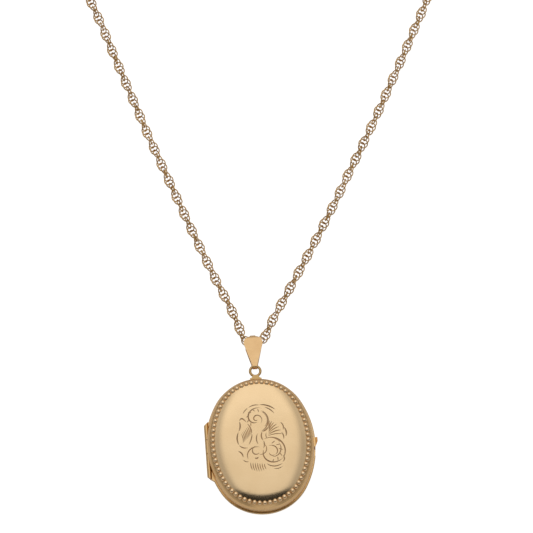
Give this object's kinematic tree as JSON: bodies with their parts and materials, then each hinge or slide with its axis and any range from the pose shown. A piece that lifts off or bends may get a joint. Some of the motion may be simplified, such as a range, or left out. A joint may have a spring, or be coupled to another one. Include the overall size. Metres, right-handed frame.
{
  "type": "locket necklace",
  "caption": "Oval hinged locket with a beaded front and two picture frames, hung by a ring and a folded bail on a rope-link chain with a bolt ring clasp.",
  "frame": {"origin": "middle of the flat rest face in the centre of the rear cover, on the oval's own axes", "axes": "+Z out of the beaded front cover, +Y from the foot of the case to the suspension ring and bail, the hinge on -X and the thumb lip on +X"},
  "size_m": [0.0874, 0.1547, 0.0073],
  "materials": {
    "polished_gold": "polished",
    "bead_gold": "polished",
    "rim_gold": "polished",
    "bail_gold": "satin",
    "chain_gold": "polished",
    "clasp_gold": "polished",
    "spring_steel": "drawn wire",
    "window": "clear polished acetate",
    "card": "matt uncoated card"
  },
  "bodies": {
    "rear_half": {"rear_cover": "polished_gold", "rear_rim": "rim_gold", "rear_frame": "polished_gold", "rear_window": "window", "rear_card": "card", "hinge_knuckle_top": "rim_gold", "hinge_knuckle_bottom": "rim_gold", "hinge_pin": "rim_gold", "suspension_ring": "rim_gold", "ring_foot": "rim_gold"},
    "front_half": {"front_cover": "polished_gold", "bead_border": "bead_gold", "front_rim": "rim_gold", "front_frame": "polished_gold", "front_window": "window", "front_card": "card", "hinge_knuckle_middle": "rim_gold", "thumb_lip": "rim_gold"},
    "bail": {"bail": "bail_gold", "chain_run": "chain_gold", "chain_coil_left": "chain_gold", "chain_coil_right": "chain_gold", "chain_tail_left": "chain_gold", "chain_tail_right": "chain_gold", "clasp_jump_ring": "clasp_gold", "bolt_ring_eye": "clasp_gold", "bolt_ring_body": "clasp_gold", "bolt_ring_spring": "spring_steel", "end_jump_ring": "clasp_gold", "end_ring": "clasp_gold"},
    "bolt": {"bolt_ring_trigger": "clasp_gold"}
  },
  "joints": [
    {"name": "cover_hinge", "type": "hinge", "parent": "rear_half", "child": "front_half", "pos_m": [-0.0117, 0, 0.0037], "axis": [0, -1, 0], "range_deg": [0, 170]},
    {"name": "bail_swing", "type": "hinge", "parent": "rear_half", "child": "bail", "pos_m": [0, 0.0186, 0.00325], "axis": [1, 0, 0], "range_deg": [-95, 125]},
    {"name": "bolt_slide", "type": "hinge", "parent": "bail", "child": "bolt", "pos_m": [-0.02297, 0.12152, 0.00072], "axis": [0, 0, 1], "range_deg": [0, 55], "stiffness_Nm_per_rad": 0.002, "springref_deg": -17.19, "deforming": ["bolt_ring_spring"]}
  ]
}
